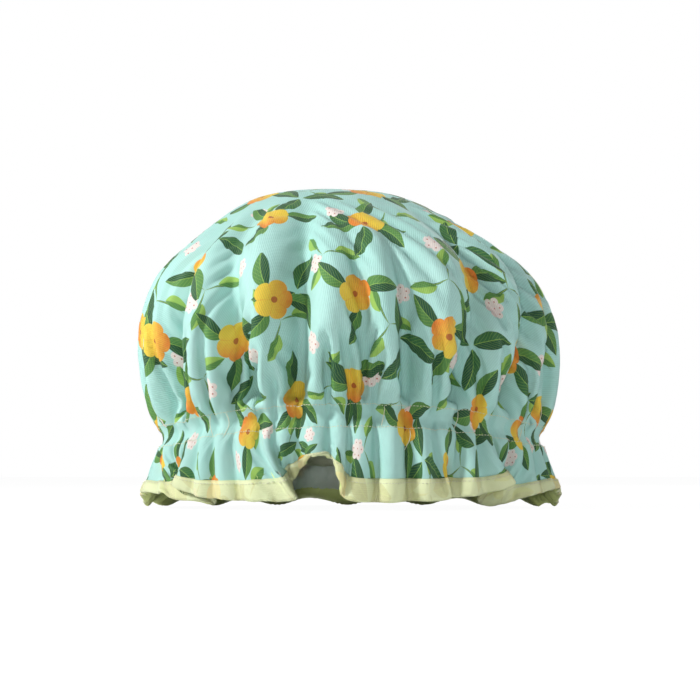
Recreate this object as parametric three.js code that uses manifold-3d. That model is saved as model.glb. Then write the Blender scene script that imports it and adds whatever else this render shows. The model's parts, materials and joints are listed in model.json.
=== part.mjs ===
// Bouffant shower cap: a cloth cap and its waterproof lining, each cut as one disc, gathered
// on an elastic band in a sewn tunnel, with a bound ruffle below it.
// Millimetres, +Z up, front towards -Y. The cap stands on its ruffle, at Z = 0.

import * as THREE from "three";
import { mergeVertices } from "three/addons/utils/BufferGeometryUtils.js";
import Module from "manifold-3d";

// Overall form, over the ridges of the folds.
const capWidth = 257;
const capDepth = 224;
const clothHeight = 186;
const crownShift = -14;

// Elastic opening, along the middle of the band.
const openingWidth = 210;
const openingDepth = 142;
const elasticWidth = 9;
const elasticThickness = 1.1;

// Tunnel sewn round the opening, and the ruffle below it. The flares are degrees from upright,
// and they set how high the ruffle holds the tunnel.
const tunnelWidth = 13;
const ruffleLength = 38;
const ruffleFrontFlare = 12;
const ruffleBackFlare = 54;
const frontLift = 7;
const frontLiftTurn = 60;

// Plies, sewn together with a small gap left between them.
const clothThickness = 0.6;
const liningThickness = 0.45;
const tapeThickness = 0.5;
const bindingThickness = 0.8;
const bindingFoldThickness = 1.3;
const bindingWidth = 9;
const plyGap = 0.3;
const bindingGap = 0.5;
const restDepth = 0.5;

// Depth of the folds where the cap is fullest, and of the gathers on the elastic. The cloth
// swells by tunnelSwell at both edges of the tunnel. It swells by ruffleSwell in the front of the
// ruffle, most at swellShare of the way down to the hem, and not at all at the back.
const foldDepth = 17;
const gatherDepth = 5;
const tunnelSwell = 2.5;
const ruffleSwell = 4;
const swellShare = 0.38;

// Valleys of the main folds, once round the cap from the back: degrees turned from the front
// towards +X, depth as a share of foldDepth, how much sooner than the others the fold starts, as
// a share of the way down the crown, and degrees that it leans there.
// The hem below a valley, and below the ridge after it, has its shares of ruffleLength: how far
// it lies outside the tunnel, and how far above the table.
const valleys = [
  { turn: -179, foldShares: [0.75, 0], lean: 3, hemShares: [0.79, 0.02], crestShares: [0.88, 0.12] },
  { turn: -160, foldShares: [1, 0], lean: -4, hemShares: [0.79, 0.02], crestShares: [0.86, 0.12] },
  { turn: -142, foldShares: [0.7, 0], lean: 2, hemShares: [0.75, 0.02], crestShares: [0.82, 0.1] },
  { turn: -122, foldShares: [0.95, 0], lean: -3, hemShares: [0.62, 0.01], crestShares: [0.6, 0.07] },
  { turn: -103, foldShares: [0.65, 0], lean: 3, hemShares: [0.42, 0.02], crestShares: [0.36, 0.16] },
  { turn: -83, foldShares: [0.7, 0], lean: 4, hemShares: [0.3, 0.24], crestShares: [0.3, 0.26] },
  { turn: -62, foldShares: [0.95, 0.1], lean: 10, hemShares: [-0.08, -0.02], crestShares: [0.14, 0.2] },
  { turn: -27, foldShares: [1.05, 0.15], lean: -12, hemShares: [0.1, 0.12], crestShares: [0.08, 0.2] },
  { turn: -17, foldShares: [1.2, 0.25], lean: 5, hemShares: [-0.04, 0.48], crestShares: [0.19, 0.78] },
  { turn: 4, foldShares: [0.75, 0], lean: 0, hemShares: [0.07, 0.13], crestShares: [0.13, 0.11] },
  { turn: 16, foldShares: [0.8, 0], lean: -2, hemShares: [0.05, 0.13], crestShares: [0.13, 0.14] },
  { turn: 29, foldShares: [1, 0.2], lean: 15, hemShares: [-0.1, 0.2], crestShares: [0.16, 0.22] },
  { turn: 49, foldShares: [0.95, 0.15], lean: 18, hemShares: [-0.08, -0.02], crestShares: [0.14, 0.2] },
  { turn: 66, foldShares: [0.8, 0.1], lean: 12, hemShares: [0.2, 0.24], crestShares: [0.34, 0.27] },
  { turn: 86, foldShares: [0.75, 0.1], lean: -1, hemShares: [0.3, 0.22], crestShares: [0.36, 0.16] },
  { turn: 103, foldShares: [0.9, 0], lean: 3, hemShares: [0.42, 0.02], crestShares: [0.6, 0.07] },
  { turn: 122, foldShares: [0.7, 0], lean: -3, hemShares: [0.62, 0.01], crestShares: [0.82, 0.1] },
  { turn: 142, foldShares: [1, 0], lean: 4, hemShares: [0.75, 0.02], crestShares: [0.86, 0.12] },
  { turn: 161, foldShares: [0.8, 0], lean: -2, hemShares: [0.79, 0.02], crestShares: [0.88, 0.12] },
];

// Rings of the crown, from the top down. A ring's half sizes are shares of the cap's, and its
// height runs from the tunnel's top edge, 0, to the crown, 1. Its folds have a share of their
// depth, and more by how much sooner they start. The other shares say how much of the crown's
// shift and of the folds' lean a ring has. Its stride, 1 unless it is given, is how many stations
// it steps over.
const crownRings = [
  { sizeShares: [0.35, 0.35], heightShare: 0.97, foldShares: [0, 0], shiftShare: 0.9, leanShare: 1, stride: 4 },
  { sizeShares: [0.67, 0.69], heightShare: 0.8, foldShares: [0.03, 2], shiftShare: 0.5, leanShare: 1, stride: 2 },
  { sizeShares: [0.86, 0.9], heightShare: 0.66, foldShares: [0.3, 1.5], shiftShare: 0.3, leanShare: 0.95 },
  { sizeShares: [0.96, 0.98], heightShare: 0.49, foldShares: [0.6, 1], shiftShare: 0.13, leanShare: 0.75 },
  { sizeShares: [1, 0.98], heightShare: 0.34, foldShares: [0.85, 0.4], shiftShare: 0.03, leanShare: 0.5 },
  { sizeShares: [0.97, 0.87], heightShare: 0.15, foldShares: [0.9, 0], shiftShare: 0, leanShare: 0.2 },
  { sizeShares: [0.93, 0.79], heightShare: 0.05, foldShares: [0.7, 0], shiftShare: 0, leanShare: 0.07 },
];

// Four stations to each fold: its valley, its flank, its ridge and the next flank.
const stationsPerFold = 4;
const valleyShares = [1, 0.5, 0, 0.5];
const stationCount = valleys.length * stationsPerFold;

// The plies' depths below the outer face, and where the outer face seats round the elastic.
const clothBack = -clothThickness;
const liningFace = clothBack - plyGap;
const liningBack = liningFace - liningThickness;
const seatOffset = elasticThickness / 2 + plyGap - liningBack + gatherDepth;
const seatWidth = openingWidth / 2 + seatOffset;
const seatDepth = openingDepth / 2 + seatOffset;

const mix = THREE.MathUtils.lerp;
const radians = THREE.MathUtils.degToRad;
const perStation = (make) => Array.from({ length: stationCount }, (_, station) => make(station));

// What a station takes from the fold that it lies in and from the next one.
function foldAt(station) {
  const index = Math.floor(station / stationsPerFold);
  const step = station % stationsPerFold;
  const along = step / stationsPerFold;
  const here = valleys[index];
  const next = valleys[(index + 1) % valleys.length];
  const fullTurn = index + 1 === valleys.length ? 360 : 0;
  const valley = step * 2 < stationsPerFold ? here : next;
  return {
    turn: mix(here.turn, next.turn + fullTurn, along),
    lean: mix(here.lean, next.lean, along),
    depthShares: valley.foldShares.map((share) => share * valleyShares[step]),
    gatherShare: valleyShares[step],
    hemShares: valley.hemShares.map((share, i) => mix(here.crestShares[i], share, valleyShares[step])),
  };
}

// A point of an ellipse seen from above, with its outward direction. Turn 0 is the front.
function ellipseAt(turn, halfWidth, halfDepth, height) {
  const sine = Math.sin(radians(turn));
  const cosine = Math.cos(radians(turn));
  const point = new THREE.Vector3(halfWidth * sine, -halfDepth * cosine, height);
  const out = new THREE.Vector3(sine / halfWidth, -cosine / halfDepth, 0).normalize();
  return { point, out };
}

// How far a turn faces the front: 1 there, and 0 at the back.
function frontShare(turn) {
  return (1 + Math.cos(radians(turn))) / 2;
}

// The ruffle's flare from upright, in degrees. It is least at the front, which lifts the tunnel.
function flareAt(turn) {
  return mix(ruffleBackFlare, ruffleFrontFlare, frontShare(turn));
}

function tunnelBottomAt(turn) {
  const liftShare = Math.cos((Math.PI / 2) * Math.min(1, Math.abs(turn / frontLiftTurn)));
  return ruffleLength * Math.cos(radians(flareAt(turn))) + frontLift * liftShare;
}

function crownRing(ring) {
  return perStation((station) => {
    const fold = foldAt(station);
    const turn = fold.turn + fold.lean * ring.leanShare;
    const [halfWidth, halfDepth] = [capWidth / 2, capDepth / 2].map((half, i) => half * ring.sizeShares[i]);
    const tunnelTop = tunnelBottomAt(turn) + tunnelWidth;
    const at = ellipseAt(turn, halfWidth, halfDepth, mix(tunnelTop, clothHeight, ring.heightShare));
    at.point.x += crownShift * ring.shiftShare;
    const [depthShare, soonShare] = fold.depthShares;
    const [grownShare, soonerShare] = ring.foldShares;
    const inward = foldDepth * (depthShare * grownShare + soonShare * soonerShare);
    return at.point.addScaledVector(at.out, -inward);
  });
}

// A ring of the tunnel, gathered alike at every fold, at a height above its bottom edge.
function tunnelRing(height, swell) {
  return perStation((station) => {
    const fold = foldAt(station);
    const at = ellipseAt(fold.turn, seatWidth, seatDepth, tunnelBottomAt(fold.turn) + height);
    return at.point.addScaledVector(at.out, swell - gatherDepth * fold.gatherShare);
  });
}

// A ring of the ruffle, at a length down the cloth on its way from the tunnel to the hem.
function ruffleRing(length, swell) {
  return perStation((station) => {
    const { turn, hemShares } = foldAt(station);
    const [out, height] = hemShares.map((share) => share * ruffleLength);
    const hem = ellipseAt(turn, seatWidth + out, seatDepth + out, height);
    const top = tunnelBottomRing[station].clone();
    return top.lerp(hem.point, length / ruffleLength).addScaledVector(hem.out, swell * frontShare(turn));
  });
}

const tunnelBottomRing = tunnelRing(0, tunnelSwell);
const bindingTop = ruffleLength - bindingWidth;
const clothRings = [
  ...crownRings.map((ring) => ({ points: crownRing(ring), stride: ring.stride ?? 1 })),
  { points: tunnelRing(tunnelWidth, tunnelSwell), stride: 1 },
  { points: tunnelRing(tunnelWidth / 2, 0), stride: 1 },
  { points: tunnelBottomRing, stride: 1 },
  { points: ruffleRing(ruffleLength * swellShare, ruffleSwell), stride: 1 },
  { points: ruffleRing(bindingTop, ruffleSwell / 2), stride: 1 },
  { points: ruffleRing(ruffleLength, 0), stride: 1 },
];
const hemIndex = clothRings.length - 1;
const bindingTopIndex = hemIndex - 1;
const tunnelBottomIndex = hemIndex - 3;
const tunnelTopIndex = hemIndex - 5;
const crownPoint = new THREE.Vector3(crownShift, 0, clothHeight);

// The tangent of a line at a point between two others: it halves the angle between them.
function tangentAt(before, here, after) {
  const arriving = here.clone().sub(before).normalize();
  const leaving = after.clone().sub(here).normalize();
  return arriving.add(leaving);
}

// The outward normal of the cloth's outer face at a station of a ring.
function normalAt(index, station) {
  const { points } = clothRings[index];
  const here = points[station];
  const before = points[(station + stationCount - 1) % stationCount];
  const after = points[(station + 1) % stationCount];
  const above = index === 0 ? crownPoint : clothRings[index - 1].points[station];
  const below = index === hemIndex ? here : clothRings[index + 1].points[station];
  return tangentAt(above, here, below).cross(tangentAt(before, here, after)).normalize();
}

const clothNormals = clothRings.map((_, index) => perStation((station) => normalAt(index, station)));

// A point of a ring, moved off the outer face of the cloth along its normal.
function offsetPoint(index, station, offset) {
  return clothRings[index].points[station].clone().addScaledVector(clothNormals[index][station], offset);
}

// A point past the cloth's cut edge, in line with the ruffle.
function pastHem(station, overhang, offset) {
  const down = clothRings[hemIndex].points[station].clone().sub(clothRings[bindingTopIndex].points[station]);
  return offsetPoint(hemIndex, station, offset).addScaledVector(down.normalize(), overhang);
}

// Triangles as they are added, as a flat list of coordinates.
class Faces {
  constructor() {
    this.coordinates = [];
  }

  triangle(a, b, c) {
    for (const point of [a, b, c]) this.coordinates.push(point.x, point.y, point.z);
  }

  geometry() {
    const geometry = new THREE.BufferGeometry();
    geometry.setAttribute("position", new THREE.Float32BufferAttribute(this.coordinates, 3));
    geometry.computeVertexNormals();
    return geometry;
  }
}

// Joins two rings with as many points each, or with twice as many in the lower one.
function joinRings(upper, lower, add) {
  const ratio = lower.length / upper.length;
  upper.forEach((point, i) => {
    const next = upper[(i + 1) % upper.length];
    const below = lower[i * ratio];
    const belowNext = lower[((i + 1) * ratio) % lower.length];
    if (ratio === 1) {
      add(point, below, belowNext);
    } else {
      const belowMiddle = lower[i * ratio + 1];
      add(point, below, belowMiddle);
      add(point, belowMiddle, belowNext);
    }
    add(point, belowNext, next);
  });
}

// One face of a ply: the crown and every ring, at an offset from the cloth's outer face.
function addFace(offset, add) {
  const top = crownPoint.clone().add(new THREE.Vector3(0, 0, offset));
  const rings = clothRings.map(({ stride }, index) =>
    Array.from({ length: stationCount / stride }, (_, i) => offsetPoint(index, i * stride, offset)),
  );
  rings[0].forEach((point, i) => add(top, point, rings[0][(i + 1) % rings[0].length]));
  rings.slice(1).forEach((ring, i) => joinRings(rings[i], ring, add));
  return rings[hemIndex];
}

// A ply of the whole cap, closed round its cut edge.
function plyGeometry(face, back) {
  const faces = new Faces();
  const faceHem = addFace(face, (a, b, c) => faces.triangle(a, b, c));
  const backHem = addFace(back, (a, b, c) => faces.triangle(a, c, b));
  joinRings(faceHem, backHem, (a, b, c) => faces.triangle(a, b, c));
  return faces.geometry();
}

// A closed strip round the cap from one section a station. A section's points carry how far down
// the cloth they lie, so that the strip creases along the same diagonals as the cloth.
function stripGeometry(sectionAt) {
  const faces = new Faces();
  const sections = perStation(sectionAt);
  sections.forEach((section, station) => {
    const next = sections[(station + 1) % stationCount];
    section.forEach((corner, k) => {
      const other = (k + 1) % section.length;
      const [a, b, c, d] = [corner.point, section[other].point, next[other].point, next[k].point];
      if (corner.down <= section[other].down) {
        faces.triangle(a, b, c);
        faces.triangle(a, c, d);
      } else {
        faces.triangle(a, b, d);
        faces.triangle(b, c, d);
      }
    });
  });
  return faces.geometry();
}

// The binding is folded round both plies' cut edges.
function bindingSection(station) {
  const face = bindingGap;
  const back = liningBack - bindingGap;
  const fold = bindingGap + bindingFoldThickness;
  const top = (offset) => ({ point: offsetPoint(bindingTopIndex, station, offset), down: 0 });
  const bottom = (overhang, offset) => ({ point: pastHem(station, overhang, offset), down: 1 });
  return [
    top(face + bindingThickness),
    bottom(fold, face + bindingThickness),
    bottom(fold, back - bindingThickness),
    top(back - bindingThickness),
    top(back),
    bottom(bindingGap, back),
    bottom(bindingGap, face),
    top(face),
  ];
}

// A point on the smooth ellipse of the elastic, off its middle line and above its mid height.
function elasticPoint(station, outward, upward) {
  const { turn } = foldAt(station);
  const height = tunnelBottomAt(turn) + tunnelWidth / 2 + upward;
  const at = ellipseAt(turn, openingWidth / 2, openingDepth / 2, height);
  return at.point.addScaledVector(at.out, outward);
}

function elasticSection(station) {
  const half = elasticWidth / 2;
  const corner = (outward, upward) => ({ point: elasticPoint(station, outward, upward), down: -upward });
  return [
    corner(elasticThickness / 2, half),
    corner(elasticThickness / 2, -half),
    corner(-elasticThickness / 2, -half),
    corner(-elasticThickness / 2, half),
  ];
}

// The tape is sewn to the lining along both its edges, and passes inside the elastic between them.
function tapeSection(station) {
  const seam = liningBack - plyGap;
  const pocket = -elasticThickness / 2 - plyGap;
  const half = elasticWidth / 2 + plyGap;
  const edge = (index, offset, down) => ({ point: offsetPoint(index, station, offset), down });
  const middle = (outward, upward) => ({ point: elasticPoint(station, outward, upward), down: -upward });
  return [
    edge(tunnelTopIndex, seam, -tunnelWidth / 2),
    middle(pocket, half),
    middle(pocket, -half),
    edge(tunnelBottomIndex, seam, tunnelWidth / 2),
    edge(tunnelBottomIndex, seam - tapeThickness, tunnelWidth / 2),
    middle(pocket - tapeThickness, -half),
    middle(pocket - tapeThickness, half),
    edge(tunnelTopIndex, seam - tapeThickness, -tunnelWidth / 2),
  ];
}

const wasm = await Module();
wasm.setup();

function toSolid(geometry) {
  const bare = geometry.index ? geometry.toNonIndexed() : geometry.clone();
  for (const name of Object.keys(bare.attributes)) if (name !== "position") bare.deleteAttribute(name);
  const merged = mergeVertices(bare);
  const triVerts = new Uint32Array(merged.index.array);
  const vertProperties = merged.attributes.position.array;
  return new wasm.Manifold(new wasm.Mesh({ numProp: 3, vertProperties, triVerts }));
}

function toGeometry(solid) {
  const { vertProperties, triVerts } = solid.getMesh();
  const geometry = new THREE.BufferGeometry();
  geometry.setAttribute("position", new THREE.BufferAttribute(vertProperties, 3));
  geometry.setIndex(new THREE.BufferAttribute(triVerts, 1));
  const flat = geometry.toNonIndexed();
  flat.computeVertexNormals();
  return flat;
}

// Cuts a geometry flat at a height, where it rests.
function cutFlat(geometry, height) {
  const size = capWidth + capDepth;
  const below = new THREE.BoxGeometry(size, size, size).translate(0, 0, height - size / 2);
  return toGeometry(toSolid(geometry).subtract(toSolid(below)));
}

function lowestOf(geometry) {
  geometry.computeBoundingBox();
  return geometry.boundingBox.min.z;
}

const uncutBinding = stripGeometry(bindingSection);
const tableHeight = lowestOf(uncutBinding) + restDepth;

const finishes = {
  outer_shell: { color: 0xb4ddd2, roughness: 0.75, metalness: 0 },
  lining: { color: 0xf1f4ea, roughness: 0.35, metalness: 0 },
  elastic_band: { color: 0xf4f2ec, roughness: 0.8, metalness: 0 },
  elastic_tunnel_tape: { color: 0xe9eed6, roughness: 0.6, metalness: 0 },
  edge_binding: { color: 0xdfe2a8, roughness: 0.4, metalness: 0 },
};

const geometries = {
  outer_shell: plyGeometry(0, clothBack),
  lining: plyGeometry(liningFace, liningBack),
  elastic_band: stripGeometry(elasticSection),
  elastic_tunnel_tape: stripGeometry(tapeSection),
  edge_binding: cutFlat(uncutBinding, tableHeight),
};

const cap = new THREE.Group();
for (const [name, geometry] of Object.entries(geometries)) {
  const mesh = new THREE.Mesh(geometry, new THREE.MeshStandardMaterial(finishes[name]));
  mesh.name = name;
  cap.add(mesh);
}

// The cap's frame has its origin under the middle of its box, on the table.
const middle = new THREE.Box3().setFromObject(cap).getCenter(new THREE.Vector3());
cap.position.set(-middle.x, -middle.y, -tableHeight);

const part = new THREE.Group();
part.add(cap);

export default part;
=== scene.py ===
import json

import bpy
import numpy as np
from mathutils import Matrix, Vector

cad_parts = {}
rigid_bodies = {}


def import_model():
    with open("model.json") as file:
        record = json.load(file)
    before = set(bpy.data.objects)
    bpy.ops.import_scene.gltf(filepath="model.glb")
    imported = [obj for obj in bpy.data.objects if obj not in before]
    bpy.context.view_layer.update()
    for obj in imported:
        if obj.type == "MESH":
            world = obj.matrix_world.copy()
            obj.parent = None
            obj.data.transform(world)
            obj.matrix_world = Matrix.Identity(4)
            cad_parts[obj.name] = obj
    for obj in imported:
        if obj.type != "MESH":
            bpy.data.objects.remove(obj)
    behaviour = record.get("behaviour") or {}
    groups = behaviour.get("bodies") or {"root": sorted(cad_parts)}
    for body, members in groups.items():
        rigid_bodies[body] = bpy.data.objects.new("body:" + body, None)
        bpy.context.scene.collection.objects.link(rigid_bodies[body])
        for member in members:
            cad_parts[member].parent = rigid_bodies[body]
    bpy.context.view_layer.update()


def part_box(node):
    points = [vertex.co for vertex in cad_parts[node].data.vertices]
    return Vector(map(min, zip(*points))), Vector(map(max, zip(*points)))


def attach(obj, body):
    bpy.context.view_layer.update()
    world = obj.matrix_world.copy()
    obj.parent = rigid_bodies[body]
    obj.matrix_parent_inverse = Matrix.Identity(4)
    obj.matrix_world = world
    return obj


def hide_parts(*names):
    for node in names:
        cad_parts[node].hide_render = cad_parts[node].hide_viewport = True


for left_over in list(bpy.data.objects):
    bpy.data.objects.remove(left_over)

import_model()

MM = 0.001

# The cap's sizes, in metres. They are those of the CAD model, but the seat on the elastic lies
# 0.8 mm further out than there, and the lift of the back is the scene's own.
CAP_WIDTH = 257 * MM
CAP_DEPTH = 224 * MM
CLOTH_HEIGHT = 186 * MM
CROWN_SHIFT = -14 * MM
SEAT_HALF_WIDTH = 113 * MM
SEAT_HALF_DEPTH = 79 * MM
TUNNEL_WIDTH = 13 * MM
RUFFLE_LENGTH = 38 * MM
RUFFLE_FRONT_FLARE = 12
RUFFLE_BACK_FLARE = 54
FRONT_LIFT = 7 * MM
FRONT_LIFT_TURN = 60
BACK_LIFT = 0.9 * MM

# The flat cut is a disc. Its radius is the way from the middle of the crown down to the hem.
CROWN_LENGTH = 220 * MM
TUNNEL_END = CROWN_LENGTH + TUNNEL_WIDTH
HEM_RADIUS = TUNNEL_END + RUFFLE_LENGTH
CLOTH_STEP = 2.7 * MM
LINING_GAP = 0.9 * MM
LEAST_GAP = 0.6 * MM
BINDING_WIDTH = 9 * MM
OPENING_WIDTH = 210 * MM
OPENING_DEPTH = 142 * MM
ELASTIC_WIDTH = 9 * MM
ELASTIC_THICKNESS = 1.1 * MM
TAPE_GAP = 0.3 * MM
TAPE_THICKNESS = 0.5 * MM

# Profile of the crown from its middle to the elastic, in shares: way along the cloth, half width,
# half depth, height.
CROWN_WAY = np.array([0, 34, 48.5, 64, 81.4, 99.5, 115.3, 130, 141.5, 156, 175.5, 204.7, 219.8, 229]) / 229
CROWN_HALF = np.array([0, 32, 45, 58, 72, 86, 98, 110, 117, 123, 126.5, 124, 119, 115.5]) / 128.5
CROWN_DEEP = np.array([0, 32, 45, 58, 73, 89, 103, 115, 121, 126, 126, 111, 101, 95]) / 128.5
CROWN_HIGH = np.array([141, 140, 137, 131, 122, 112, 103, 93, 83, 69, 50, 21, 7, 0]) / 141

# Folds of the crown: turn at the elastic, depth, how far the top leans, how much higher it starts.
FOLDS = np.array([
    (-179, 0.75, 3, 0), (-160, 1, -4, 0), (-142, 0.7, 2, 0), (-122, 0.95, -3, 0),
    (-103, 0.65, 3, 0), (-83, 0.7, 4, 0), (-62, 0.95, 10, 0.1), (-27, 1.05, -12, 0.15),
    (-17, 1.2, 5, 0.25), (4, 0.75, 0, 0), (16, 0.8, -2, 0), (29, 1, 15, 0.2),
    (49, 0.95, 18, 0.15), (66, 0.8, 12, 0.1), (86, 0.75, -1, 0.1), (103, 0.9, 3, 0),
    (122, 0.7, -3, 0), (142, 1, 4, 0), (161, 0.8, -2, 0), (181, 0.75, 3, 0),
])
FOLD_DEPTH = 23 * MM
GATHERS = 48
GATHER_DEPTH = 11 * MM
SEAT_FOLD = 6.2 * MM
HEM_GATHER = 6 * MM
HEM_DROP = 1 * MM
RUFFLE_SWELL = 4 * MM
RUFFLE_GATHER = 5 * MM
RUFFLE_DROP = 14 * MM
TUNNEL_BULGE = 3.5 * MM

# The solver. Spare cloth: shares of the way from the crown's middle to the elastic, and how much
# cloth there is there for the length round the planned shape.
SPARE_CLOTH = ([0, 0.5, 0.62, 0.75, 0.88, 0.96, 1, 1.06, 1.15, 1.24],
               [1, 1, 1.02, 1.05, 1.12, 1.16, 1.1, 1.1, 1.06, 1.01])
STEPS = 260
HOLD_CROWN = 0.007
HOLD_RUFFLE = 0.03
BEND = 0.05
BEND_BINDING = 0.3
STRETCH = 0.9
SQUEEZE = 0.6
SQUEEZE_DOWN = 0.04
DRIFT = 0.9
PUFF = 0.003 * MM
PINNED_WIDTH = 7 * MM
LONGEST_MOVE = 0.8 * MM
START_NOISE = 0.3 * MM
LEAST_HEIGHT = 0.4 * MM

# Section of the binding, in millimetres: how far up the cloth from its edge, and how far off it.
FACING_WIDTH = 16
BINDING_SECTION = [
    (9.6, 0.3), (9.4, 0.75), (5, 0.85), (1, 0.8), (-0.1, 0.5), (-0.5, -0.4), (-0.1, -1.2),
    (1, -1.65), (5, -1.7), (FACING_WIDTH, -1.6), (FACING_WIDTH, -1.15), (5, -1.15),
    (0.5, -1.1), (0.4, 0.25), (5, 0.25),
]
HEM_STATIONS = 1440
hem_turns = np.arange(HEM_STATIONS) / HEM_STATIONS * 360 - 180

# Threads and stitches. A stitch's points are its share of half its length, and its height.
THREAD_RADIUS = 0.2 * MM
STITCH_PITCH = 3 * MM
STITCH_SHARE = 0.74
STITCH_POINTS = [(-1, -0.25 * MM), (-0.6, 0.12 * MM), (0, 0.2 * MM), (0.6, 0.12 * MM), (1, -0.25 * MM)]
HEM_STITCH_IN = 7.6 * MM
HEM_STITCH_OFF = 0.8 * MM

# Loose thread ends: their turns round the cap, how far one may shift, and lengths in millimetres.
LOOSE_TURNS = (-44, -38, 8, 17, 33, 57, 73, -74)
LOOSE_SHIFT = 2
LOOSE_SHORTEST = 7
LOOSE_LONGEST = 14
LOOSE_CURL = 5

# The studio. A lamp has its name, place, size and watts.
CAMERA_AWAY = 1.1
CAMERA_HIGH = 0.022
AIM = Vector((0, 0, 0.0945))
VIEW_WIDTH = 0.42
FLOOR_HALF = 6
FLOOR_GLOW = 1.05
FLOOR_GLOW_SHARE = 0.92
FLOOR_COLOUR = (0.9, 0.9, 0.9, 1)
FLOOR_ROUGHNESS = 0.9
WORLD_LIGHT = 0.1
WORLD_TINT = (0.97, 0.985, 1, 1)
LAMPS = [("key", (-1.1, -0.55, 0.85), 0.22, 22), ("side", (1.3, -0.3, 0.45), 0.3, 4.5),
         ("low", (-0.04, -1.15, 0.02), 0.1, 3.7), ("back", (0.7, 1.3, 1.0), 0.8, 7)]

# Hem of the ruffle: turn in the cloth, turn where it lies, how far out, how high.
HEM = np.array([
    (-179, -179, 30, 0), (-169.5, -169.5, 33.5, 4.5), (-160, -160, 30, 0), (-151, -151, 32.5, 4.5),
    (-142, -142, 28.5, 0), (-132, -132, 31, 4), (-122, -122, 23.5, 0), (-112.5, -112.5, 23, 2.5),
    (-103, -103, 16, 0.5), (-93, -93, 13.5, 6), (-83, -83, 11.5, 9), (-73, -66, 10, 9),
    (-66, -48, -9, 1), (-62, -50, -10, 5), (-57, -60, 4, 13), (-48, -49, 5, 7),
    (-38, -36, 2, 5), (-30, -24, 5, 4.5), (-25, -14.5, 5, 4), (-21, -20, -12, 14),
    (-16, -16, -4, 22), (-11, -10.5, 4, 29), (-6, -5, 7, 28), (-2, -2.2, 6, 14), (1, -1.5, 5, 4),
    (5, 5, 2, 4), (10, 10, 5, 3.5), (16, 17, 2, 4.5), (21, 23, 5, 4.5),
    (26, 28.5, 4, 6), (29, 27, -9, 8), (32, 30, 4, 6.5), (38, 39, 6, 8),
    (45, 53, 5, 14), (50, 44, -9, 5), (55, 47, -8, 1), (64, 62, 8, 8),
    (76, 76, 12, 11), (86, 86, 11.5, 9), (94.5, 94.5, 13.5, 6), (103, 103, 16, 0.5),
    (112.5, 112.5, 23, 2.5), (122, 122, 23.5, 0), (132, 132, 31, 4), (142, 142, 28.5, 0),
    (151.5, 151.5, 32.5, 4.5), (161, 161, 30, 0), (171, 171, 33.5, 4.5),
])


# Shape of the cloth.

def curve(places, values, at):
    """A smooth line through the values, flat at its peaks."""
    places, values = np.array(places, float), np.array(values, float)
    slope = np.gradient(values, places)
    steps = np.diff(values) / np.diff(places)
    slope[1:-1] = np.where(steps[:-1] * steps[1:] <= 0, 0, slope[1:-1])
    k = np.clip(np.searchsorted(places, at, side="right") - 1, 0, len(places) - 2)
    span = places[k + 1] - places[k]
    u = np.clip((at - places[k]) / span, 0, 1)
    start = (2 * u**3 - 3 * u**2 + 1) * values[k] + (u**3 - 2 * u**2 + u) * span * slope[k]
    return start + (3 * u**2 - 2 * u**3) * values[k + 1] + (u**3 - u**2) * span * slope[k + 1]


def around(table, turns):
    """Every column of a table round the cap, as smooth lines of the turn in its first column."""
    wide = np.concatenate([table[-3:] - [360, *wrap(table)], table, table[:3] + [360, *wrap(table)]])
    return [curve(wide[:, 0], wide[:, c], turns) for c in range(1, table.shape[1])]


def wrap(table):
    """What a full turn adds to each column after the first: only the second holds turns."""
    return [360 if c == 1 else 0 for c in range(1, table.shape[1])]


def folds_at(rows, turns, leaning=0.0, softness=0.07):
    """How deep the fold is at each turn, with sharp valleys and round ridges, and how high it starts.
    A row's valley lies at its turn on the elastic, and further round by its lean higher up."""
    depth, reach = np.zeros_like(turns), np.zeros_like(turns)
    for low, high in zip(rows[:-1], rows[1:]):
        start, end = low[0] + low[2] * leaning, high[0] + high[2] * leaning
        for shifted in (turns - 360, turns, turns + 360):
            u = (shifted - start) / (end - start)
            inside = (u >= 0) & (u < 1)
            ridge = np.hypot(np.sin(np.pi * u), softness) - softness
            ridge = ridge / (np.hypot(1, softness) - softness)
            depth = np.where(inside, (low[1] * (1 - u) + high[1] * u) * (1 - ridge), depth)
            reach = np.where(inside, low[3] * (1 - u) + high[3] * u, reach)
    return depth, reach


def unit(vectors):
    return vectors / np.maximum(np.linalg.norm(vectors, axis=1), 1e-12)[:, None]


def outward(turns, width, depth):
    """Level directions square to an ellipse."""
    a = np.radians(turns)
    x, y = np.sin(a) / np.maximum(width, 1e-4), -np.cos(a) / np.maximum(depth, 1e-4)
    return unit(np.stack([x, y, 0 * a], 1))


def on_ellipse(turns, width, depth, height):
    """Points round the cap. The turn is 0 in front and grows to the right."""
    a = np.radians(turns)
    return np.stack([width * np.sin(a), -depth * np.cos(a), height + 0 * a], 1)


def tunnel_bottom(turns):
    """Height of the tunnel's lower edge, on a ruffle that flares more at the back and lifts in front."""
    ahead = np.cos(np.radians(turns))
    flare = RUFFLE_FRONT_FLARE + (RUFFLE_BACK_FLARE - RUFFLE_FRONT_FLARE) * (1 - ahead) / 2
    arc = np.cos(np.radians(90 * turns / FRONT_LIFT_TURN))
    lift = np.where(np.abs(turns) < FRONT_LIFT_TURN, FRONT_LIFT * arc, 0)
    return RUFFLE_LENGTH * np.cos(np.radians(flare)) + lift + BACK_LIFT * np.maximum(0, -ahead)


def gather_rows(rng):
    """Rows like those of FOLDS for the fine gathers, with uneven places and depths."""
    turns = np.linspace(-179, 181, GATHERS + 1)
    turns[1:-1] += rng.uniform(-0.22, 0.22, GATHERS - 1) * 360 / GATHERS
    depths = rng.uniform(0.6, 1, GATHERS)
    return np.stack([turns, np.append(depths, depths[0]), 0 * turns, 0 * turns], 1)


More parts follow.
